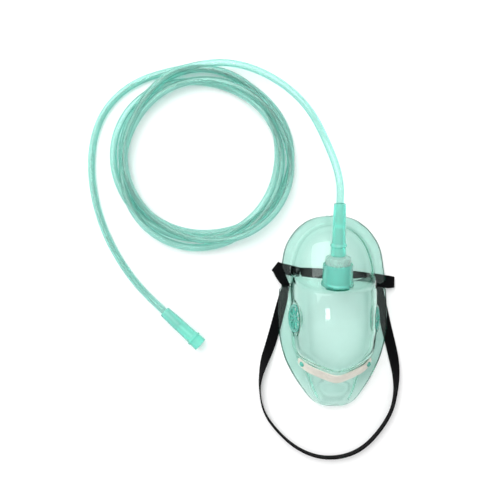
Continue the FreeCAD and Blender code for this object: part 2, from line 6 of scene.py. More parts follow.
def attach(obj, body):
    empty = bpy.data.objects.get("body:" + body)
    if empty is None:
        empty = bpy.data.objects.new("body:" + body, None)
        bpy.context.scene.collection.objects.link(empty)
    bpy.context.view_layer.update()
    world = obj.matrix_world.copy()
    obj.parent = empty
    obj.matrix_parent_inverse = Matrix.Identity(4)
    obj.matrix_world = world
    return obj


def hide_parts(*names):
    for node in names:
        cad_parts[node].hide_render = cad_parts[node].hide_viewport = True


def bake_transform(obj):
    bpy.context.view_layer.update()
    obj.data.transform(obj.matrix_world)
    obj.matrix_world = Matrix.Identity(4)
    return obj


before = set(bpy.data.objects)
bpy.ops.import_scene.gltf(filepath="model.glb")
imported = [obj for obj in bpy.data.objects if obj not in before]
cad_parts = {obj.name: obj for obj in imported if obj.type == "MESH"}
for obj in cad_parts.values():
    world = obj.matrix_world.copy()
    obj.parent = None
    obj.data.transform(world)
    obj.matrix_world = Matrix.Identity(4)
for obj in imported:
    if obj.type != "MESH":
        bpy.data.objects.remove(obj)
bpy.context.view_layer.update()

MM = 0.001
MERGE = 0.002 * MM

# ------------------------------------------------------------ shared measures
INLET_TILT = math.radians(15.0)
INLET_START = Vector((0.0, 22.0, 34.0))
INLET_AXIS = Vector((0.0, math.cos(INLET_TILT), math.sin(INLET_TILT)))
TUBE_RADIUS = 2.75
TUBE_BORE = 1.95
CONNECTOR_START = 22.4
CONNECTOR_LENGTH = 37.8
SLEEVE_PLACE = 22.8
VENT_LEAN = math.radians(69.0)
VENT_CENTRE = (29.4, -3.8, 21.0)
VENT_SEAT = 0.9
VENT_HOLE = 9.4
VENT_FLAT = 11.2
INLET_HOLE = 9.2
INLET_FLAT = 12.4
SLOT_CENTRE = (35.7, 20.0)
SLOT_HALF = (3.4, 1.3)

# The tube's route, in millimetres, as in part.py.
LEAD_ROUTE = [(0.0, 80.16, 49.59), (0.0, 92.23, 52.82), (-2.6, 106.0, 51.2), (-7.6, 121.5, 44.0),
              (-13.0, 137.0, 34.6), (-20.0, 152.0, 25.0), (-31.0, 166.0, 17.0),
              (-46.0, 178.0, 12.0), (-64.0, 186.8, 9.8), (-84.0, 190.6, 9.6), (-104.0, 188.4, 9.0)]
FAR_ROUTE = [(-131.0, 183.6, 2.9), (-147.0, 178.5, 2.9), (-162.0, 169.5, 2.9), (-174.5, 156.5, 2.9),
             (-182.5, 140.0, 2.9), (-186.0, 121.0, 2.9), (-185.6, 100.0, 2.9), (-181.5, 78.5, 2.9),
             (-174.0, 57.5, 2.9), (-163.8, 38.5, 2.9), (-151.6, 21.4, 2.9), (-138.6, 8.1, 3.3),
             (-129.3, -0.3, 4.3)]
FAR_DIRECTION = Vector((math.cos(math.radians(-42.0)), math.sin(math.radians(-42.0)), 0.076))
COIL_CENTRE = (-100.0, 117.0)

# The strap's route, as in part.py: centre, then half of its width.
STRAP_ROUTE = [
    ((-25.0, 29.4, 0.7), (0.9, 3.9, 0.0)), ((-36.0, 32.2, 0.7), (0.9, 3.9, 0.0)),
    ((-43.2, 33.8, 0.9), (2.6, 3.4, 0.0)), ((-44.4, 34.8, 2.8), (2.7, 3.4, 0.0)),
    ((-43.0, 33.4, 4.7), (2.7, 3.2, 0.0)), ((-40.4, 28.0, 4.9), (3.5, 1.8, 0.0)),
    ((-37.6, 22.6, 4.9), (3.1, 1.0, 0.0)), ((-36.0, 20.4, 4.2), (2.9, 0.4, 0.0)),
    ((-35.7, 20.0, 1.8), (2.9, 0.2, 0.0)), ((-35.9, 18.8, 0.7), (3.0, 0.1, 0.0)),
    ((-38.6, 8.0, 0.7), (3.8, -0.7, 0.0)), ((-43.4, -11.0, 0.7), (3.9, -1.0, 0.0)),
    ((-48.0, -26.6, 1.4), (3.8, -1.0, 0.6)), ((-52.4, -38.0, 3.1), (2.9, -0.9, 2.6)),
    ((-55.3, -48.6, 4.2), (1.0, -0.2, 3.8)), ((-56.5, -60.0, 4.1), (0.0, 0.0, 4.0)),
    ((-53.9, -75.9, 4.1), (0.0, 0.0, 4.0)), ((-46.0, -88.7, 4.1), (0.0, 0.0, 4.0)),
    ((-31.7, -103.0, 4.1), (0.0, 0.0, 4.0)), ((-15.9, -111.2, 4.1), (0.0, 0.0, 4.0)),
    ((-1.0, -113.2, 4.1), (0.0, 0.0, 4.0)), ((14.3, -110.3, 4.1), (0.0, 0.0, 4.0)),
    ((27.1, -102.4, 4.1), (0.0, 0.0, 4.0)), ((38.7, -88.6, 4.1), (0.0, 0.0, 4.0)),
    ((45.8, -75.9, 4.1), (0.0, 0.0, 4.0)), ((48.6, -62.0, 4.1), (0.4, 0.0, 3.9)),
    ((48.9, -48.6, 3.9), (2.0, 0.3, 3.4)), ((47.4, -37.0, 2.5), (3.4, 0.7, 1.9)),
    ((45.2, -26.0, 0.9), (3.8, 0.9, 0.3)), ((41.5, -11.0, 0.7), (3.9, 0.9, 0.0)),
    ((37.6, 8.0, 0.7), (3.8, 0.7, 0.0)), ((35.9, 18.8, 0.7), (3.0, 0.1, 0.0)),
    ((35.7, 20.0, 1.8), (2.9, 0.2, 0.0)), ((36.0, 20.4, 4.2), (2.9, 0.3, 0.0)),
    ((38.4, 21.0, 4.9), (2.4, 2.4, 0.0)), ((42.4, 21.6, 4.7), (0.6, 4.0, 0.0)),
    ((46.4, 22.2, 4.2), (0.0, 4.2, 0.0)), ((47.6, 22.3, 2.8), (0.0, 4.2, 0.0)),
    ((46.4, 22.6, 0.9), (0.2, 4.1, 0.0)), ((40.0, 23.8, 0.7), (0.6, 4.0, 0.0)),
    ((20.0, 26.6, 0.7), (0.5, 4.0, 0.0)), ((-8.0, 29.0, 0.7), (0.2, 4.0, 0.0)),
    ((-24.4, 29.4, 0.7), (-0.6, 4.0, 0.0))]


# ------------------------------------------------------------------- helpers
def clamp(value, low=0.0, high=1.0):
    return max(low, min(high, value))


def ease(low, high, value):
    """0 below low, 1 above high, and smooth between."""
    t = clamp((value - low) / (high - low))
    return t * t * (3 - 2 * t)


def soft_max(a, b, width):
    t = clamp(0.5 + 0.5 * (a - b) / width)
    return b + (a - b) * t + width * t * (1 - t)


def soft_min(a, b, width):
    return -soft_max(-a, -b, width)


def through(knots, value):
    """A smooth curve through (place, height) knots that doesn't overshoot them."""
    if value <= knots[0][0]:
        return knots[0][1]
    if value >= knots[-1][0]:
        return knots[-1][1]
    index = max(i for i in range(len(knots) - 1) if knots[i][0] <= value)
    slopes = [(b[1] - a[1]) / (b[0] - a[0]) for a, b in zip(knots, knots[1:])]

    def tangent(i):
        if i == 0:
            return slopes[0]
        if i == len(knots) - 1:
            return slopes[-1]
        before, after = slopes[i - 1], slopes[i]
        return 0.0 if before * after <= 0 else 2 * before * after / (before + after)

    (x0, y0), (x1, y1) = knots[index], knots[index + 1]
    run = x1 - x0
    t = (value - x0) / run
    return (y0 * (1 + 2 * t) * (1 - t) ** 2 + y1 * t * t * (3 - 2 * t)
            + tangent(index) * run * t * (1 - t) ** 2 - tangent(index + 1) * run * t * t * (1 - t))


def smooth_faces(mesh, sharp=None):
    """Shade smooth, apart from edges that turn by more than sharp degrees."""
    for polygon in mesh.polygons:
        polygon.use_smooth = True
    if sharp is not None:
        mesh.set_sharp_from_angle(angle=math.radians(sharp))


def mesh_object(name, vertices, faces):
    """A piece from vertices in millimetres."""
    mesh = bpy.data.meshes.new(name)
    mesh.from_pydata([Vector(v) * MM for v in vertices], [], faces)
    mesh.validate()
    smooth_faces(mesh)
    obj = bpy.data.objects.new(name, mesh)
    bpy.context.collection.objects.link(obj)
    return obj


def face_outwards(mesh, merge=None):
    """Turn the faces outwards, after joining vertices nearer together than merge."""
    work = bmesh.new()
    work.from_mesh(mesh)
    if merge:
        bmesh.ops.remove_doubles(work, verts=work.verts, dist=merge)
        bmesh.ops.dissolve_degenerate(work, edges=work.edges, dist=merge / 2)
    bmesh.ops.recalc_face_normals(work, faces=work.faces)
    work.to_mesh(mesh)
    work.free()


def ring_faces(rings, count, closed=False):
    """Faces between rings of points in turn: closed on themselves, or capped at both ends."""
    faces = []
    for ring in range(rings if closed else rings - 1):
        beyond = (ring + 1) % rings
        for index in range(count):
            after = (index + 1) % count
            faces.append((ring * count + index, ring * count + after,
                          beyond * count + after, beyond * count + index))
    if not closed:
        faces.append(tuple(range(count)))
        faces.append(tuple(reversed(range((rings - 1) * count, rings * count))))
    return faces


def dress(obj, material, body, replaced):
    """Give a piece its material, its body and the CAD nodes that it replaces."""
    obj.data.materials.append(material)
    if body:
        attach(obj, body)
    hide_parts(*replaced)
    return obj


def smooth_line(points):
    """Points along a smooth open spline with these control points."""
    curve = bpy.data.curves.new("route", "CURVE")
    curve.dimensions = "3D"
    curve.resolution_u = 10
    spline = curve.splines.new("NURBS")
    spline.points.add(len(points) - 1)
    for knot, point in zip(spline.points, points):
        knot.co = (point[0], point[1], point[2], 1.0)
    spline.order_u = 3
    spline.use_endpoint_u = True
    holder = bpy.data.objects.new("route", curve)
    bpy.context.collection.objects.link(holder)
    bpy.context.view_layer.update()
    graph = bpy.context.evaluated_depsgraph_get()
    line = bpy.data.meshes.new_from_object(holder.evaluated_get(graph))
    result = [vertex.co.copy() for vertex in line.vertices]
    bpy.data.objects.remove(holder)
    bpy.data.curves.remove(curve)
    bpy.data.meshes.remove(line)
    return result


def tangents(points):
    last = len(points) - 1
    return [(points[min(i + 1, last)] - points[max(i - 1, 0)]).normalized()
            for i in range(last + 1)]


def frames_along(points):
    """A pair of directions across the line at each point, turning as little as possible."""
    along = tangents(points)
    side = along[0].orthogonal().normalized()
    result = []
    for direction in along:
        side = (side - direction * side.dot(direction)).normalized()
        result.append((side, direction.cross(side)))
    return result


def frame_on(origin, axis, across=(1.0, 0.0, 0.0)):
    """A placement whose Z lies along an axis and whose X leans towards a direction."""
    up = Vector(axis).normalized()
    right = Vector(across)
    right = (right - up * right.dot(up)).normalized()
    turn = Matrix((right, up.cross(right), up)).transposed()
    return Matrix.Translation(Vector(origin)) @ turn.to_4x4()


def rounded_profile(corners, steps=5):
    """A closed profile of (radius, height, rounding) corners, with each corner rounded."""
    points = []
    count = len(corners)
    for index, (radius, height, rounding) in enumerate(corners):
        here = Vector((radius, height))
        if not rounding:
            points.append(here)
            continue
        back = Vector(corners[index - 1][:2]) - here
        ahead = Vector(corners[(index + 1) % count][:2]) - here
        first = here + back.normalized() * min(rounding, 0.48 * back.length)
        last = here + ahead.normalized() * min(rounding, 0.48 * ahead.length)
        for step in range(steps + 1):
            t = step / steps
            points.append(first * (1 - t) ** 2 + here * (2 * t * (1 - t)) + last * t * t)
    return points


def turned_parts(corners, place, sides=96, shape=None):
    """Vertices and faces of a turned piece; shape may move each point by its angle."""
    profile = rounded_profile(corners)
    vertices = []
    for side in range(sides):
        angle = 2 * math.pi * side / sides
        for point in profile:
            radius, height = point
            if shape:
                radius, height = shape(radius, height, angle)
            spot = Vector((radius * math.cos(angle), radius * math.sin(angle), height))
            vertices.append(place @ spot)
    return vertices, ring_faces(sides, len(profile), closed=True)


def joined(parts):
    """One list of vertices and faces from several."""
    vertices, faces = [], []
    for more_vertices, more_faces in parts:
        base = len(vertices)
        vertices += more_vertices
        faces += [tuple(base + index for index in face) for face in more_faces]
    return vertices, faces


def solid_piece(name, parts, sharp=40):
    """One object from closed parts, shaded sharp at its corners."""
    vertices, faces = joined(parts)
    obj = mesh_object(name, vertices, faces)
    face_outwards(obj.data, MERGE)
    smooth_faces(obj.data, sharp)
    return obj


# ----------------------------------------------------------------- materials
def node_tools(name):
    material = bpy.data.materials.new(name)
    material.use_nodes = True
    nodes = material.node_tree.nodes
    shader = nodes["Principled BSDF"]
    return material, nodes, material.node_tree.links, shader


def noise_of(nodes, links, scale, detail=3.0, roughness=0.55, stretch=(1, 1, 1)):
    place = nodes.new("ShaderNodeTexCoord")
    mapping = nodes.new("ShaderNodeMapping")
    mapping.inputs["Scale"].default_value = stretch
    links.new(place.outputs["Object"], mapping.inputs["Vector"])
    texture = nodes.new("ShaderNodeTexNoise")
    texture.inputs["Scale"].default_value = scale
    texture.inputs["Detail"].default_value = detail
    texture.inputs["Roughness"].default_value = roughness
    links.new(mapping.outputs["Vector"], texture.inputs["Vector"])
    return texture.outputs["Fac"]


def ramp_of(nodes, links, source, stops):
    ramp = nodes.new("ShaderNodeValToRGB")
    while len(ramp.color_ramp.elements) < len(stops):
        ramp.color_ramp.elements.new(0.5)
    for element, (place, colour) in zip(ramp.color_ramp.elements, stops):
        element.position = place
        element.color = (*colour, 1.0)
    links.new(source, ramp.inputs["Fac"])
    return ramp.outputs["Color"]


def range_of(nodes, links, source, low, high):
    spread = nodes.new("ShaderNodeMapRange")
    spread.inputs["To Min"].default_value = low
    spread.inputs["To Max"].default_value = high
    links.new(source, spread.inputs["Value"])
    return spread.outputs["Result"]


def bump_of(nodes, links, source, strength, distance):
    bump = nodes.new("ShaderNodeBump")
    bump.inputs["Strength"].default_value = strength
    bump.inputs["Distance"].default_value = distance
    links.new(source, bump.inputs["Height"])
    return bump.outputs["Normal"]


def absorb(material, tint, thickness):
    """Colour the light inside: tint is the part left after a thickness in millimetres."""
    links = material.node_tree.links
    inside = material.node_tree.nodes.new("ShaderNodeVolumeAbsorption")
    losses = [-math.log(part) / (thickness * MM) for part in tint]
    strongest = max(losses)
    inside.inputs["Density"].default_value = strongest
    inside.inputs["Color"].default_value = (*[1 - loss / strongest for loss in losses], 1.0)
    output = [node for node in material.node_tree.nodes if node.type == "OUTPUT_MATERIAL"][0]
    links.new(inside.outputs["Volume"], output.inputs["Volume"])


def clear_plastic(name, *, tint, thickness, ior, roughness, cloud_scale,
                  surface=(1.0, 1.0, 1.0), clearness=1.0, coat=0.4):
    """Clear plastic tinted through its thickness, with a slightly uneven glossy skin."""
    material, nodes, links, shader = node_tools(name)
    cloud = noise_of(nodes, links, cloud_scale)
    dull = [part * 0.97 for part in surface]
    links.new(ramp_of(nodes, links, cloud, [(0.3, dull), (0.7, surface)]),
              shader.inputs["Base Color"])
    links.new(range_of(nodes, links, cloud, roughness * 0.7, roughness * 1.5),
              shader.inputs["Roughness"])
    fine = noise_of(nodes, links, cloud_scale * 5)
    normal = bump_of(nodes, links, fine, 0.03, 0.0003)
    links.new(normal, shader.inputs["Normal"])
    links.new(normal, shader.inputs["Coat Normal"])
    shader.inputs["Transmission Weight"].default_value = clearness
    shader.inputs["IOR"].default_value = ior
    shader.inputs["Coat Weight"].default_value = coat
    shader.inputs["Coat Roughness"].default_value = 0.06
    shader.inputs["Coat IOR"].default_value = 1.5
    absorb(material, tint, thickness)
    return material


def paint_edge_shade(material, colour):
    """Painted shade: a deeper colour on the mesh's marked borders, in place of the edge-on darkening."""
    nodes, links = material.node_tree.nodes, material.node_tree.links
    base = nodes["Principled BSDF"].inputs["Base Color"]
    # The mesh's "edge" attribute marks where the shade is painted.
    edge = nodes.new("ShaderNodeAttribute")
    edge.attribute_name = "edge"
    mix = nodes.new("ShaderNodeMixRGB")
    links.new(edge.outputs["Fac"], mix.inputs["Fac"])
    links.new(base.links[0].from_socket, mix.inputs["Color1"])
    mix.inputs["Color2"].default_value = (*colour, 1.0)
    links.new(mix.outputs["Color"], base)


def brushed_strip(name):
    """Soft aluminium strip: fine rolling lines along it, dull and slightly warm."""
    material, nodes, links, shader = node_tools(name)
    lines = noise_of(nodes, links, 220, 5.0, 0.7, (0.12, 1.0, 1.0))
    links.new(ramp_of(nodes, links, lines, [(0.3, (0.74, 0.70, 0.62)), (0.7, (0.92, 0.89, 0.80))]),
              shader.inputs["Base Color"])
    links.new(range_of(nodes, links, lines, 0.38, 0.55), shader.inputs["Roughness"])
    links.new(bump_of(nodes, links, lines, 0.15, 0.0002), shader.inputs["Normal"])
    shader.inputs["Metallic"].default_value = 0.55
    return material


def woven_elastic(name):
    """Black elastic: cords along the band crossed by a tight weave."""
    material, nodes, links, shader = node_tools(name)
    place = nodes.new("ShaderNodeUVMap")
    place.uv_map = "band"
    waves = []
    for direction, scale in (("Y", 1.75), ("X", 0.55)):
        wave = nodes.new("ShaderNodeTexWave")
        wave.bands_direction = direction
        wave.inputs["Scale"].default_value = scale
        wave.inputs["Distortion"].default_value = 0.6
        wave.inputs["Detail"].default_value = 2.0
        wave.inputs["Detail Scale"].default_value = 2.5
        links.new(place.outputs["UV"], wave.inputs["Vector"])
        waves.append(wave.outputs["Fac"])
    cross = nodes.new("ShaderNodeMath")
    cross.operation = "MULTIPLY"
    links.new(waves[0], cross.inputs[0])
    links.new(waves[1], cross.inputs[1])
    thread = nodes.new("ShaderNodeMath")
    thread.operation = "MULTIPLY_ADD"
    thread.inputs[1].default_value = 0.6
    links.new(waves[0], thread.inputs[0])
    links.new(cross.outputs[0], thread.inputs[2])
    links.new(ramp_of(nodes, links, thread.outputs[0],
                      [(0.1, (0.0015, 0.0015, 0.0018)), (1.0, (0.006, 0.006, 0.007))]),
              shader.inputs["Base Color"])
    links.new(range_of(nodes, links, thread.outputs[0], 0.85, 0.6), shader.inputs["Roughness"])
    links.new(bump_of(nodes, links, thread.outputs[0], 0.6, 0.00025), shader.inputs["Normal"])
    shader.inputs["Sheen Weight"].default_value = 0.01
    shader.inputs["Specular IOR Level"].default_value = 0.05
    return material


SHELL_PLASTIC = clear_plastic("green_pvc", tint=(0.79, 0.967, 0.92), thickness=1.4, ior=1.25,
                              roughness=0.05, cloud_scale=60)
# Painted shade: dark green along every border of the shell, for the darkening seen edge on.
paint_edge_shade(SHELL_PLASTIC, (0.01, 0.12, 0.09))
VENT_PLASTIC = clear_plastic("green_pvc_deep", tint=(0.60, 0.95, 0.90), thickness=1.6, ior=1.3,
                             roughness=0.12, cloud_scale=180, surface=(0.17, 0.66, 0.55),
                             clearness=0.5)
RING_PLASTIC = clear_plastic("green_ring", tint=(0.62, 0.98, 0.94), thickness=1.7, ior=1.2,
                             roughness=0.08, cloud_scale=120, surface=(0.38, 0.90, 0.82),
                             clearness=0.7)
MILKY_PLASTIC = clear_plastic("milky_plastic", tint=(0.88, 0.98, 0.96), thickness=1.2, ior=1.2,
                              roughness=0.25, cloud_scale=120, surface=(0.48, 0.74, 0.67),
                              clearness=0.45, coat=0.3)
FUNNEL_PLASTIC = clear_plastic("green_funnel", tint=(0.60, 0.985, 0.96), thickness=2.0, ior=1.2,
                               roughness=0.08, cloud_scale=140, surface=(0.48, 0.94, 0.85),
                               clearness=0.7)
TUBE_PLASTIC = clear_plastic("tube_pvc", tint=(0.77, 0.98, 0.955), thickness=0.8, ior=1.15,
                             roughness=0.05, cloud_scale=14, surface=(0.85, 0.91, 0.885),
                             clearness=0.94, coat=0.6)
CLIP_METAL = brushed_strip("clip_aluminium")
STRAP_CLOTH = woven_elastic("strap_elastic")


# ---------------------------------------------------------- camera and studio
CAMERA_PLACE = Vector((-63.6, 50.9, 560.0))
CAMERA_LENS = 52.03
FLOOR_HALF = 20000.0


def look_down():
    """Straight down from above the middle of the laid-out set."""
    camera = bpy.data.cameras.new("camera")
    camera.lens = CAMERA_LENS
    camera.sensor_width = 36.0
    holder = bpy.data.objects.new("camera", camera)
    holder.location = CAMERA_PLACE * MM
    bpy.context.collection.objects.link(holder)
    bpy.context.scene.camera = holder


def soft_box(name, place, target, size, power):
    """A rectangular lamp at a place in metres, facing a target."""
    light = bpy.data.lights.new(name, "AREA")
    light.shape = "RECTANGLE"
    light.size, light.size_y = size
    light.energy = power
    holder = bpy.data.objects.new(name, light)
    holder.location = place
    aim = Vector(place) - Vector(target)
    holder.rotation_euler = frame_on((0.0, 0.0, 0.0), aim).to_euler()
    bpy.context.collection.objects.link(holder)


def studio():
    """A pale floor, a sky that is white above and grey at its foot, and two soft boxes."""
    world = bpy.context.scene.world or bpy.data.worlds.new("studio")
    bpy.context.scene.world = world
    world.use_nodes = True
    nodes, links = world.node_tree.nodes, world.node_tree.links
    sky = nodes["Background"]
    place = nodes.new("ShaderNodeTexCoord")
    parts = nodes.new("ShaderNodeSeparateXYZ")
    links.new(place.outputs["Generated"], parts.inputs["Vector"])
    greys = [(0.0, 0.10), (0.22, 0.30), (0.55, 1.0)]
    links.new(ramp_of(nodes, links, parts.outputs["Z"], [(z, (grey,) * 3) for z, grey in greys]),
              sky.inputs["Color"])
    sky.inputs["Strength"].default_value = 0.88
    soft_box("key_box", (-0.37, 0.52, 0.80), (-0.016, 0.04, 0.02), (0.84, 0.98), 8.8)
    soft_box("top_box", (-0.14, -0.12, 1.34), (0.0, 0.0, 0.05), (0.24, 0.20), 1.6)
    corners = [(FLOOR_HALF * x, FLOOR_HALF * y, 0.0) for x, y in ((-1, -1), (1, -1), (1, 1), (-1, 1))]
    floor = mesh_object("floor", corners, [(0, 1, 2, 3)])
    material, nodes, links, shader = node_tools("floor")
    shader.inputs["Base Color"].default_value = (0.95, 0.95, 0.95, 1.0)
    shader.inputs["Roughness"].default_value = 0.9
    shader.inputs["Specular IOR Level"].default_value = 0.1
    floor.data.materials.append(material)


look_down()
studio()
bpy.context.scene.view_settings.view_transform = "Standard"


# ---------------------------------------------------------------------- tube
COIL_TURNS = 4
POINTS_PER_TURN = 20
COIL_FIRST_ANGLE = math.radians(93.2)
COIL_LAST_ANGLE = math.radians(115.0) + 2 * math.pi * COIL_TURNS
COIL_RADIUS = 63.4
COIL_FIRST_RADIUS = 71.4
COIL_LAST_RADIUS = 73.2
# How the turns drift in and out: size, waves per radian turned, and phase.
COIL_DRIFTS = ((5.4, 1.27, 0.9), (1.3, 2.6, 2.0))


def coil_radius(turned):
    """The coil's radius after turning by an angle: off-centre turns that cross each other."""
    last = 2 * math.pi * COIL_TURNS
    loose = sum((size * math.cos(waves * turned + phase) for size, waves, phase in COIL_DRIFTS),
                COIL_RADIUS)
    start = 1 - ease(0.0, 0.9, turned)
    end = ease(last - 0.9, last + 0.3, turned)
    return loose * (1 - start - end) + COIL_FIRST_RADIUS * start + COIL_LAST_RADIUS * end


def coil_plan():
    """Plan points of the turns, from the lead round to the far lead."""
    count = COIL_TURNS * POINTS_PER_TURN + 1
    step = (COIL_LAST_ANGLE - COIL_FIRST_ANGLE) / count
    points = []
    for index in range(1, count):
        turned = index * step
        angle = COIL_FIRST_ANGLE + turned
        radius = coil_radius(turned)
        points.append((COIL_CENTRE[0] + radius * math.cos(angle),
                       COIL_CENTRE[1] + radius * math.sin(angle)))
    return points


def resting_heights(points):
    """Each turn lies on the table or on the turns laid before it."""
    low = TUBE_RADIUS + 0.15
    apart = 2 * TUBE_RADIUS + 0.1
    heights = [low] * len(points)
    for index in range(len(points) - 1, -1, -1):
        here = Vector(points[index])
        ahead = Vector(points[min(index + 1, len(points) - 1)])
        behind = Vector(points[max(index - 1, 0)])
        for other in range(index + POINTS_PER_TURN // 2, len(points) - 1):
            first, second = Vector(points[other]), Vector(points[other + 1])
            for sample in (here, (here + ahead) / 2, (here + behind) / 2):
                share = clamp((sample - first).dot(second - first) / (second - first).length_squared)
                gap = (sample - first.lerp(second, share)).length
                if gap < apart:
                    under = heights[other] + (heights[other + 1] - heights[other]) * share
                    heights[index] = max(heights[index], under + math.sqrt(apart ** 2 - gap ** 2))
    needed = list(heights)
    for _ in range(3):
        softer = [(heights[max(i - 1, 0)] + 2 * heights[i] + heights[min(i + 1, len(heights) - 1)]) / 4
                  for i in range(len(heights))]
        heights = [max(a, b) for a, b in zip(needed, softer)]
    return heights


def tube_controls():
    """The whole route in metres, from inside one connector to inside the other."""
    plan = coil_plan()
    turns = [(x, y, z) for (x, y), z in zip(plan, resting_heights(plan))]
    inside = INLET_START + INLET_AXIS * (CONNECTOR_START + SLEEVE_PLACE + 0.3)
    far_inside = Vector(FAR_ROUTE[-1]) + FAR_DIRECTION.normalized() * (
        CONNECTOR_LENGTH - SLEEVE_PLACE - 0.3)
    points = [tuple(inside)] + LEAD_ROUTE + turns + FAR_ROUTE + [tuple(far_inside)]
    return [(x * MM, y * MM, z * MM) for x, y, z in points]


def hollow_tube(name, line, outer, inner, sides=20):
    """A tube with a bore and flat ends, along a line of points in metres."""
    vertices, faces = [], []
    for point, (across, up) in zip(line, frames_along(line)):
        for radius in (outer, inner):
            for side in range(sides):
                angle = 2 * math.pi * side / sides
                place = point / MM + (across * math.cos(angle) + up * math.sin(angle)) * radius
                vertices.append(place)
    ring = 2 * sides
    for index in range(len(line) - 1):
        for side in range(sides):
            beside = (side + 1) % sides
            a, b = index * ring + side, index * ring + beside
            faces.append((a, b, b + ring, a + ring))
            c, d = a + sides, b + sides
            faces.append((d, c, c + ring, d + ring))
    for base, flip in ((0, True), ((len(line) - 1) * ring, False)):
        for side in range(sides):
            beside = (side + 1) % sides
            face = (base + side, base + beside, base + sides + beside, base + sides + side)
            faces.append(tuple(reversed(face)) if flip else face)
    return mesh_object(name, vertices, faces)


def make_tube():
    """The tube, which follows the connector where it leaves the mask."""
    line = smooth_line(tube_controls())
    tube = hollow_tube("oxygen_tube", line, TUBE_RADIUS, TUBE_BORE)
    tube.data.set_sharp_from_angle(angle=math.radians(60))
    dress(tube, TUBE_PLASTIC, None, ("tube_lead", "tube_coil", "tube_far_lead"))
    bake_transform(tube)
    return tube, line


tube, tube_line = make_tube()


# --------------------------------------------------------------------- strap
STRAP_THICKNESS = 1.0
STRAP_HALF_WIDTH = 4.0
# Half of the band's cross section, as shares of its half width and half thickness.
STRAP_UPPER = ((-1.0, 0.0), (-0.985, 0.7), (-0.94, 1.0), (-0.5, 1.0), (0.0, 1.0), (0.5, 1.0),
               (0.94, 1.0), (0.985, 0.7))


def strap_edges():
    """Both edges of the band, each a smooth line through its own control points."""
    edges = []
    for sign in (-1, 1):
        points = [(Vector(centre) + Vector(half) * sign) * MM for centre, half in STRAP_ROUTE]
        edges.append(smooth_line([tuple(point) for point in points]))
    return edges


def make_strap():
    """A flat band between two edges, with its length and breadth as texture places."""
    left, right = strap_edges()
    centre = [(a + b) / 2 for a, b in zip(left, right)]
    along = tangents(centre)
    profile = [(turn * across, turn * up * STRAP_THICKNESS / 2) for turn in (1, -1)
               for across, up in STRAP_UPPER]
    vertices, places = [], []
    travelled = 0.0
    for index, middle in enumerate(centre):
        half = (right[index] - left[index]) / 2 / MM
        flat = half.cross(along[index]).normalized()
        travelled += (middle - centre[max(index - 1, 0)]).length / MM
        for across, up in profile:
            vertices.append(middle / MM + half * across + flat * up)
            places.append((travelled, across * STRAP_HALF_WIDTH))
    strap = mesh_object("elastic_strap", vertices, ring_faces(len(centre), len(profile)))
    layer = strap.data.uv_layers.new(name="band")
    for loop in strap.data.loops:
        layer.data[loop.index].uv = places[loop.vertex_index]
    face_outwards(strap.data)
    smooth_faces(strap.data, 50)
    dress(strap, STRAP_CLOTH, "mask", ("head_strap",))


make_strap()


# --------------------------------------------------------------------- shell
# Each list holds places along the mask, nose to chin, with a value in millimetres.
OUTLINE = [(-71.6, 5.0), (-71.3, 7.4), (-70.0, 11.6), (-67.8, 15.2), (-65.2, 18.0), (-62.9, 20.0),
           (-48.6, 30.1), (-34.3, 37.0), (-20.0, 40.3), (-5.7, 41.6), (16.0, 40.7), (34.6, 38.75),
           (44.5, 37.3), (50.0, 35.7), (55.0, 33.3), (60.2, 29.8), (64.5, 25.9), (68.7, 20.6)]
CHIN_TIP = 73.2
RIM_HEIGHTS = [(-76.0, 8.0), (-60.0, 4.2), (-48.0, 1.4), (-38.0, 0.0), (-30.0, 0.5), (-15.0, 1.6),
               (20.0, 2.3), (37.0, 2.0), (55.0, 1.0), (76.0, 0.0)]
BULGE_WIDTHS = [(-72.0, 11.0), (-67.0, 12.8), (-62.5, 14.8), (-54.0, 18.6), (-44.7, 23.0), (-36.0, 27.8),
                (-24.0, 31.6), (-10.0, 32.6), (14.0, 32.8), (36.0, 31.5)]
BULGE_CROWNS = [(-74.0, 6.0), (-71.0, 9.5), (-67.0, 14.0), (-60.0, 21.0), (-52.0, 27.0),
                (-46.8, 31.0), (-42.0, 36.0), (-34.0, 42.5), (-24.0, 47.0), (-10.0, 49.5), (2.0, 50.0),
                (14.0, 49.5), (36.0, 46.0)]
BULGE_POWERS = [(-74.0, 2.0), (-60.0, 1.75), (-51.0, 1.38), (-44.0, 1.38), (-36.0, 2.0), (-26.0, 2.7),
                (-12.0, 3.0)]
DEEP_FOOT = -8.0
CREASE_DEPTH = 1.3
CREASE_WIDTH = 0.9
DOME_HALF_WIDTH = 34.6
DOME_REACH = 47.6
DOME_BACK = 22.0
DOME_HEIGHT = 22.0
DOME_ROUNDNESS = 2.2
DOME_POWER = 2.15
RIM_THICKNESS = 1.5
RIM_ROUNDING = 1.6
DOME_ROUNDING = 1.2
SHELF_ROUNDING = 9.0
WALL = 1.3
LIP_BULGE = 0.45
SEAT_EDGE = 13.6
SEAT_REACH = 7.0
HOLE_OVERLAP = 0.25
HOLE_PULL = 2.4


def outline_width(back):
    """Half-width of the rim, closing round the chin after the last place in the list."""
    chin_start, chin_width = OUTLINE[-1]
    if back > chin_start:
        left = max((CHIN_TIP - back) / (CHIN_TIP - chin_start), 0.02)
        return chin_width * left ** 0.36
    return through(OUTLINE, back)


def rim_height(back):
    return through(RIM_HEIGHTS, back)


def arch_height(share, crown, base, power, round_top=0.05):
    """Height of an arch at a share of its half-width: full, or a tent with a rounded top."""
    if share >= 1.0:
        return base - 20 * (share - 1.0)
    share = ((math.sqrt(share ** 2 + round_top ** 2) - round_top)
             / (math.sqrt(1.0 + round_top ** 2) - round_top))
    return base + (crown - base) * (1 - share ** power) ** (1 / power)


def crease_line(side):
    """How far back the crease over the nose clip lies."""
    return -42.8 + 0.42 * (math.sqrt(side * side + 16.0) - 4.0)


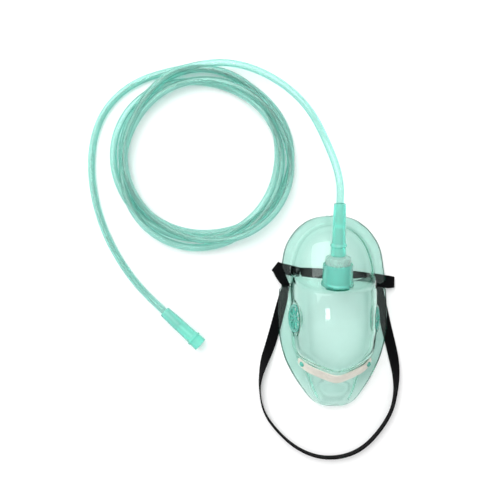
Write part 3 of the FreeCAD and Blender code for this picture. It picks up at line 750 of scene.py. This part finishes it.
def bulge_height(side, back):
    """The nose bulge alone, with the crease and the swell over the nose clip."""
    share = abs(side) / through(BULGE_WIDTHS, back)
    shallow = ease(-20.0, -38.0, back)
    base = DEEP_FOOT * (1 - shallow) + (rim_height(back) - 0.5) * shallow
    arch = arch_height(share, through(BULGE_CROWNS, back), base, through(BULGE_POWERS, back),
                       0.05 + 0.2 * ease(-52.0, -60.0, back))
    away = back - crease_line(side)
    crease = CREASE_DEPTH * math.exp(-(away / CREASE_WIDTH) ** 2)
    swell = CREASE_DEPTH * ease(0.0, 2.5, away) * ease(14.0, 5.0, away)
    return arch + (swell - crease) * ease(1.05, 0.9, share)


def wall_height(back):
    """The shelf wall's plane, square to the inlet's axis."""
    return INLET_START.z + (INLET_START.y - back) / math.tan(INLET_TILT)


def dome_height(side, back):
    """The chin dome alone."""
    reach = abs(back - DOME_BACK) / DOME_REACH
    share = (abs(side / DOME_HALF_WIDTH) ** DOME_ROUNDNESS
             + reach ** DOME_ROUNDNESS) ** (1 / DOME_ROUNDNESS)
    return arch_height(share, DOME_HEIGHT, DEEP_FOOT, DOME_POWER)


def bulge_to_shelf(side, back):
    """The nose bulge, cut off by the shelf wall."""
    return soft_min(bulge_height(side, back), wall_height(back), SHELF_ROUNDING)


def shell_top(side, back):
    """Height of the shell's outer face above any point of its plan."""
    hood = soft_max(bulge_to_shelf(side, back), dome_height(side, back), DOME_ROUNDING)
    rim = rim_height(back) + RIM_THICKNESS
    return soft_max(rim, hood, RIM_ROUNDING)


def stations():
    """Places along the mask, closer together at its ends and where it steps."""
    spans = [(-71.6, -70.0, 8, 1.6), (-70.0, -36.0, 34, 1.0), (-36.0, 10.0, 34, 1.0),
             (10.0, 17.5, 8, 1.0), (17.5, 27.0, 30, 1.0), (27.0, 58.0, 24, 1.0), (58.0, 69.0, 20, 1.0)]
    places = []
    for low, high, count, power in spans:
        places += [low + (high - low) * (i / count) ** power for i in range(count)]
    return places + [high + (CHIN_TIP - high) * (1 - (1 - i / 14) ** 3.0) for i in range(15)]


def foot_width(back):
    """Half-width where the hood meets the rim, for placing columns."""
    rim = rim_height(back) + RIM_THICKNESS
    width = outline_width(back)
    low, high = 0.0, width
    if shell_top(0.0, back) < rim + 1.0:
        return 0.45 * width
    for _ in range(24):
        middle = (low + high) / 2
        if max(bulge_to_shelf(middle, back), dome_height(middle, back)) > rim:
            low = middle
        else:
            high = middle
    return clamp(low, 0.45 * width, 0.97 * width)


HOOD_COLUMNS = 44
RIM_COLUMNS = 12


def half_section(back, foot):
    """Points from the middle of the mask out to its edge, evenly spaced up the hood."""
    fine = 160
    sides = [foot * math.sin(math.pi / 2 * i / fine) for i in range(fine + 1)]
    line = [Vector((side, back, shell_top(side, back))) for side in sides]
    walked = [0.0]
    for a, b in zip(line, line[1:]):
        walked.append(walked[-1] + (b - a).length)
    points = []
    index = 0
    for step in range(HOOD_COLUMNS + 1):
        goal = walked[-1] * step / HOOD_COLUMNS
        while index < fine - 1 and walked[index + 1] < goal:
            index += 1
        span = max(walked[index + 1] - walked[index], 1e-6)
        side = sides[index] + (sides[index + 1] - sides[index]) * clamp((goal - walked[index]) / span)
        points.append(Vector((side, back, shell_top(side, back))))
    width = outline_width(back)
    for step in range(1, RIM_COLUMNS + 1):
        side = foot + (width - foot) * step / RIM_COLUMNS
        points.append(Vector((side, back, shell_top(side, back))))
    return points


def eased(values, times):
    """The values, each averaged with its neighbours a number of times, with the ends kept."""
    for _ in range(times):
        inner = [(a + 2 * b + c) / 4 for a, b, c in zip(values, values[1:], values[2:])]
        values = [values[0]] + inner + [values[-1]]
    return values


def shell_grid():
    """The outer face as rows of points, nose to chin, each from one side to the other."""
    places = stations()
    rows = []
    for place, foot in zip(places, eased([foot_width(place) for place in places], 2)):
        half = half_section(place, foot)
        rows.append([Vector((-p.x, p.y, p.z)) for p in reversed(half[1:])] + half)
    return rows


def vent_frame(side):
    """Middle of a vent's seat and its outward direction, on the side -1 or 1."""
    centre = Vector((side * VENT_CENTRE[0], VENT_CENTRE[1], VENT_CENTRE[2]))
    out = Vector((side * math.sin(VENT_LEAN), 0.0, math.cos(VENT_LEAN)))
    return centre, out


def flatten_seats(rows):
    """Level the cheeks round each vent, and the wall round the inlet."""
    seats = [(*vent_frame(-1), VENT_SEAT, VENT_FLAT), (*vent_frame(1), VENT_SEAT, VENT_FLAT),
             (INLET_START, INLET_AXIS, 0.0, INLET_FLAT)]
    for row in rows:
        for point in row:
            for centre, out, level, flat in seats:
                offset = (point - centre).dot(out)
                radius = (point - centre - out * offset).length
                if radius < SEAT_EDGE and abs(offset) < SEAT_REACH:
                    point += out * (level - offset) * ease(SEAT_EDGE, flat, radius)


def holes():
    """Round holes: centre, axis, radius."""
    return [(*vent_frame(-1), VENT_HOLE), (*vent_frame(1), VENT_HOLE),
            (INLET_START, INLET_AXIS, INLET_HOLE)]


def round_gap(point, hole):
    """How far a point lies outside a hole's edge, and where that edge is nearest."""
    centre, out, radius = hole
    offset = (point - centre).dot(out)
    if abs(offset) > 4.0:
        return None
    flat = point - centre - out * offset
    if flat.length < 1e-6:
        return None
    return flat.length - radius, centre + out * offset + flat * (radius / flat.length)


def slot_gap(point):
    """The same for the strap slot nearest to a point."""
    side = math.copysign(1.0, point.x)
    dx, dy = abs(point.x - side * SLOT_CENTRE[0]), abs(point.y - SLOT_CENTRE[1])
    if point.z > 8.0 or dx > 6 or dy > 4:
        return None
    corner = 1.0
    ox, oy = dx - (SLOT_HALF[0] - corner), dy - (SLOT_HALF[1] - corner)
    gap = math.hypot(max(ox, 0), max(oy, 0)) + min(max(ox, oy), 0) - corner
    sx = math.copysign(1.0, point.x - side * SLOT_CENTRE[0])
    sy = math.copysign(1.0, point.y - SLOT_CENTRE[1])
    if ox > 0 and oy > 0:
        reach = math.hypot(ox, oy)
        move = Vector((sx * ox / reach, sy * oy / reach, 0))
    elif ox > oy:
        move = Vector((sx, 0, 0))
    else:
        move = Vector((0, sy, 0))
    return gap, point - move * gap


def cut_holes(work):
    """Delete the faces over each hole, and bring the rim of what is left to its edge."""
    tests = [lambda p, hole=hole: round_gap(p, hole) for hole in holes()] + [slot_gap]
    for test in tests:
        gaps = {vertex: test(vertex.co) for vertex in work.verts}
        gone = [face for face in work.faces
                if all(gaps[v] is not None and gaps[v][0] < HOLE_OVERLAP for v in face.verts)]
        bmesh.ops.delete(work, geom=gone, context="FACES")
        for vertex in [v for v in work.verts if not v.link_faces]:
            work.verts.remove(vertex)
        for vertex in work.verts:
            found = test(vertex.co)
            if found and abs(found[0]) < HOLE_PULL and vertex.is_boundary:
                vertex.co = found[1]


def outer_face(work):
    """The outer face with its holes, all facing up and out."""
    rows = shell_grid()
    flatten_seats(rows)
    grid = [[work.verts.new(point) for point in row] for row in rows]
    for near, far in zip(grid, grid[1:]):
        for index in range(len(near) - 1):
            work.faces.new((near[index], near[index + 1], far[index + 1], far[index]))
    bmesh.ops.remove_doubles(work, verts=work.verts, dist=0.02)
    cut_holes(work)
    bmesh.ops.recalc_face_normals(work, faces=work.faces)
    work.normal_update()
    if sum(face.normal.z for face in work.faces) < 0:
        bmesh.ops.reverse_faces(work, faces=work.faces)
        work.normal_update()


def inner_face(work):
    """A copy of the outer face one wall thickness in, as a table of vertex to copy."""
    places = {}
    for vertex in work.verts:
        rise = vertex.co.z - rim_height(vertex.co.y)
        thick = RIM_THICKNESS + (WALL - RIM_THICKNESS) * ease(1.6, 6.0, rise)
        places[vertex] = vertex.co - vertex.normal * thick
    copies = {vertex: work.verts.new(place) for vertex, place in places.items()}
    for face in list(work.faces):
        work.faces.new([copies[vertex] for vertex in reversed(face.verts)])
    return copies


def lip_place(vertex, copy):
    """How far the rounded edge stands out between a border vertex and its copy."""
    outward = Vector((0.0, 0.0, 0.0))
    for edge in vertex.link_edges:
        if not edge.is_boundary:
            outward += vertex.co - edge.other_vert(vertex).co
    return (vertex.co + copy.co) / 2 + outward.normalized() * LIP_BULGE


def close_border(work, border, copies, painted_edge_shade_mark):
    """Join both faces round each border with a rounded edge, and mark that edge for painted shade."""
    sides = [(*edge.verts, edge.link_faces[0]) for edge in border]
    lip = {}
    for vertex in [end for a, b, _ in sides for end in (a, b)]:
        if vertex not in lip:
            lip[vertex] = work.verts.new(lip_place(vertex, copies[vertex]))
            for part in (vertex, lip[vertex], copies[vertex]):
                part[painted_edge_shade_mark] = 1.0
    for a, b, face in sides:
        order = [loop.vert for loop in face.loops]
        if order[(order.index(a) + 1) % len(order)] != b:
            a, b = b, a
        work.faces.new((b, a, lip[a], lip[b]))
        work.faces.new((lip[b], lip[a], copies[a], copies[b]))


def make_shell():
    work = bmesh.new()
    # The "edge" layer marks the borders where a darker colour is painted as shade.
    painted_edge_shade_mark = work.verts.layers.float.new("edge")
    outer_face(work)
    border = [edge for edge in work.edges if edge.is_boundary]
    close_border(work, border, inner_face(work), painted_edge_shade_mark)
    bmesh.ops.recalc_face_normals(work, faces=work.faces)
    shell = mesh_object("face_mask_shell", [], [])
    work.to_mesh(shell.data)
    work.free()
    shell.data.transform(Matrix.Scale(MM, 4))
    smooth_faces(shell.data, 55)
    return dress(shell, SHELL_PLASTIC, "mask", ("mask_shell",))


shell = make_shell()


# -------------------------------------------------------------------- inlet
NOTCH_ANGLES = (0.0, 2 * math.pi / 3, 4 * math.pi / 3)
NOTCH_FLOOR = 11.0
NOTCH_HALF = 2.3
LIP_RADIUS = 12.0
LIP_TOP = 1.35


def ring_shape(radius, height, angle):
    """Three notches in the lip, to grip it by."""
    if radius < NOTCH_FLOOR or height > LIP_TOP or height < 0.0:
        return radius, height
    for notch in NOTCH_ANGLES:
        away = abs((angle - notch + math.pi) % (2 * math.pi) - math.pi) * LIP_RADIUS
        if away < NOTCH_HALF:
            radius = min(radius, NOTCH_FLOOR + ease(NOTCH_HALF - 0.4, NOTCH_HALF, away))
    return radius, height


def make_ring():
    """Snap-in ring: inner lip, neck in the shelf wall, notched outer lip and barrel."""
    corners = [(7.4, -2.65, 0.2), (9.2, -2.65, 0.2), (9.8, -1.65, 0.15), (8.95, -1.65, 0.0),
               (8.95, 0.15, 0.0), (12.0, 0.15, 0.25), (12.0, 1.15, 0.3), (11.2, 2.95, 1.2),
               (10.8, 15.85, 0.45), (9.3, 15.85, 0.25), (9.3, 1.45, 0.0), (7.4, 1.45, 0.2)]
    place = frame_on(INLET_START, INLET_AXIS)
    ring = solid_piece("inlet_ring_green", [turned_parts(corners, place, 180, ring_shape)])
    dress(ring, RING_PLASTIC, "swivel", ("inlet_ring",))


def make_adapter():
    """Cup in the ring, its shoulder bead, and the hollow nipple for the tube connector."""
    corners = [(8.05, 2.0, 0.2), (9.25, 2.0, 0.2), (9.25, 20.6, 0.8), (5.9, 22.2, 0.4),
               (2.95, 22.25, 0.3), (2.95, 40.2, 0.2), (2.55, 41.2, 0.1), (1.8, 41.2, 0.1),
               (1.8, 20.8, 0.3), (7.6, 19.3, 0.8), (8.05, 17.5, 0.5)]
    place = frame_on(INLET_START, INLET_AXIS)
    lower = [(4.2, 21.9, 0.3), (6.3, 21.2, 0.35), (6.3, 22.0, 0.35), (4.2, 22.32, 0.2)]
    adapter = solid_piece("inlet_adapter_milky",
                          [turned_parts(corners, place), turned_parts(lower, place)])
    dress(adapter, MILKY_PLASTIC, "swivel", ("inlet_adapter",))


def make_connector(name, place, body, node):
    """Funnel connector: ridged mouth, waist, and the sleeve with the tube's end in it."""
    corners = [(3.2, 0.0, 0.0), (5.5, 0.0, 0.35), (5.28, 6.0, 0.5), (6.0, 6.9, 0.35),
               (6.0, 7.5, 0.35), (4.95, 9.0, 0.7), (4.65, 22.0, 0.25), (4.8, 22.8, 0.3),
               (4.25, 37.8, 0.4), (2.8, 37.8, 0.2), (2.8, 23.1, 0.0), (1.9, 23.1, 0.1),
               (1.9, 22.5, 0.1), (3.0, 21.6, 0.2), (3.0, 0.4, 0.0)]
    connector = solid_piece(name, [turned_parts(corners, place)])
    return dress(connector, FUNNEL_PLASTIC, body, (node,))


make_ring()
make_adapter()
lead_connector = make_connector(
    "connector_at_mask", frame_on(INLET_START + INLET_AXIS * CONNECTOR_START, INLET_AXIS),
    "tube_connector", "tube_connector")
far_axis = FAR_DIRECTION.normalized()
far_connector = make_connector(
    "connector_far_end",
    frame_on(Vector(FAR_ROUTE[-1]) + far_axis * CONNECTOR_LENGTH, -far_axis),
    "mask", "far_connector")


# -------------------------------------------------------------------- vents
PETALS = 8


def bar_parts(place, start, end, half_start, half_end, low, high, angle):
    """One spoke: a bar with rounded edges from the hub out to the rim."""
    section = [(-1.0, 0.0), (-1.0, 0.72), (-0.8, 0.93), (-0.45, 1.0), (0.45, 1.0), (0.8, 0.93),
               (1.0, 0.72), (1.0, 0.0), (0.6, -0.1), (-0.6, -0.1)]
    vertices = []
    steps = 6
    for step in range(steps + 1):
        share = step / steps
        reach = start + (end - start) * share
        half = half_start + (half_end - half_start) * share ** 1.5
        for across, up in section:
            spot = Vector((reach, half * across, low + (high - low) * up))
            vertices.append(place @ (Matrix.Rotation(angle, 3, "Z") @ spot))
    return vertices, ring_faces(steps + 1, len(section))


def make_vent(side, name, node):
    """A round grille: plug and flange, spokes between petal-shaped gaps, hub and peg."""
    centre, out = vent_frame(side)
    place = frame_on(centre + out * VENT_SEAT, out, (0.0, 1.0, 0.0))
    rim = [(8.2, -1.0, 0.3), (8.5, -2.4, 0.2), (9.4, -2.4, 0.3), (9.4, 0.0, 0.0),
           (10.6, 0.0, 0.1), (10.6, 0.75, 0.45), (9.6, 1.0, 0.5), (8.2, 0.55, 0.4)]
    hub = [(0.02, -1.0, 0.0), (3.0, -1.0, 0.3), (3.25, 0.45, 0.35), (1.6, 0.8, 0.3),
           (0.92, 1.0, 0.3), (0.88, 2.7, 0.35), (0.02, 3.0, 0.0)]
    parts = [turned_parts(rim, place, 96), turned_parts(hub, place, 48)]
    for petal in range(PETALS):
        angle = 2 * math.pi * (petal + 0.5) / PETALS
        parts.append(bar_parts(place, 2.7, 8.6, 0.5, 0.95, -0.9, 0.55, angle))
    vent = solid_piece(name, parts)
    dress(vent, VENT_PLASTIC, "mask", (node,))


make_vent(-1, "vent_left", "vent_grille_left")
make_vent(1, "vent_right", "vent_grille_right")


# ---------------------------------------------------------------- nose clip
CLIP_MIDDLE = Vector((0.0, -46.8, 31.0))
CLIP_SLOPE = math.radians(38.0)
CLIP_ACROSS = Vector((0.0, math.cos(CLIP_SLOPE), math.sin(CLIP_SLOPE)))
CLIP_UP = Vector((0.0, -math.sin(CLIP_SLOPE), math.cos(CLIP_SLOPE)))
CLIP_HALF_SPAN = 27.0
CLIP_HALF_WIDTH = 4.0
CLIP_THICKNESS = 0.8
CLIP_GAP = 0.1
CLIP_ROUND_FROM = 24.2
STUD_SIDE = 24.0
CLIP_STEPS = 96


def clip_heights():
    """Height of the bent strip over its own base plane, at even steps across the mask."""
    surface = BVHTree.FromObject(shell, bpy.context.evaluated_depsgraph_get())
    heights = []
    for step in range(CLIP_STEPS + 1):
        side = -CLIP_HALF_SPAN + 2 * CLIP_HALF_SPAN * step / CLIP_STEPS
        highest = -100.0
        for lane in (-1.0, -0.5, 0.0, 0.5, 1.0):
            base = CLIP_MIDDLE + CLIP_ACROSS * (lane * CLIP_HALF_WIDTH * 0.9)
            base = base + Vector((side, 0.0, 0.0))
            hit = surface.ray_cast((base + CLIP_UP * 60) * MM, -CLIP_UP)[0]
            if hit:
                highest = max(highest, (hit / MM - base).dot(CLIP_UP))
        heights.append(highest)
    return [height + CLIP_GAP for height in eased(heights, 12)]


def clip_spot(heights, step):
    """Point on the strip's middle line, its outward direction and distance across."""
    side = -CLIP_HALF_SPAN + 2 * CLIP_HALF_SPAN * step / CLIP_STEPS
    ahead, behind = min(step + 1, CLIP_STEPS), max(step - 1, 0)
    run = 2 * CLIP_HALF_SPAN * (ahead - behind) / CLIP_STEPS
    along = (Vector((run, 0, 0)) + CLIP_UP * (heights[ahead] - heights[behind])).normalized()
    out = CLIP_ACROSS.cross(along)
    if out.dot(CLIP_UP) < 0:
        out = -out
    return CLIP_MIDDLE + Vector((side, 0, 0)) + CLIP_UP * heights[step], out, side


def make_clip(heights):
    """The bent strip, with rounded ends and edges."""
    section = [(-1.0, 0.5), (-0.985, 0.85), (-0.94, 1.0), (-0.6, 1.0), (0.0, 1.0), (0.6, 1.0),
               (0.94, 1.0), (0.985, 0.85), (1.0, 0.5), (0.985, 0.15), (0.94, 0.0), (0.6, 0.0),
               (0.0, 0.0), (-0.6, 0.0), (-0.94, 0.0), (-0.985, 0.15)]
    vertices = []
    for step in range(CLIP_STEPS + 1):
        spot, out, side = clip_spot(heights, step)
        end = clamp((abs(side) - CLIP_ROUND_FROM) / (CLIP_HALF_SPAN - CLIP_ROUND_FROM))
        half = CLIP_HALF_WIDTH * (0.45 + 0.55 * math.sqrt(max(1 - end * end, 0.0)))
        for across, up in section:
            vertices.append(spot + CLIP_ACROSS * (half * across) + out * (CLIP_THICKNESS * up))
    faces = ring_faces(CLIP_STEPS + 1, len(section))
    clip = solid_piece("nose_clip_strip", [(vertices, faces)], 50)
    dress(clip, CLIP_METAL, "mask", ("nose_clip",))


def make_stud(heights, side, name, node):
    """A stud with a domed head through one end of the strip."""
    step = round((side * STUD_SIDE + CLIP_HALF_SPAN) / (2 * CLIP_HALF_SPAN) * CLIP_STEPS)
    spot, out, _ = clip_spot(heights, step)
    corners = [(0.02, -1.0, 0.0), (1.0, -1.0, 0.0), (1.0, 0.75, 0.0), (2.1, 0.75, 0.15),
               (2.05, 1.3, 0.4), (1.5, 2.1, 0.6), (0.7, 2.45, 0.4), (0.02, 2.5, 0.0)]
    stud = solid_piece(name, [turned_parts(corners, frame_on(spot, out, CLIP_ACROSS), 40)])
    dress(stud, VENT_PLASTIC, "mask", (node,))


clip_line = clip_heights()
make_clip(clip_line)
make_stud(clip_line, -1, "stud_left", "nose_clip_stud_left")
make_stud(clip_line, 1, "stud_right", "nose_clip_stud_right")
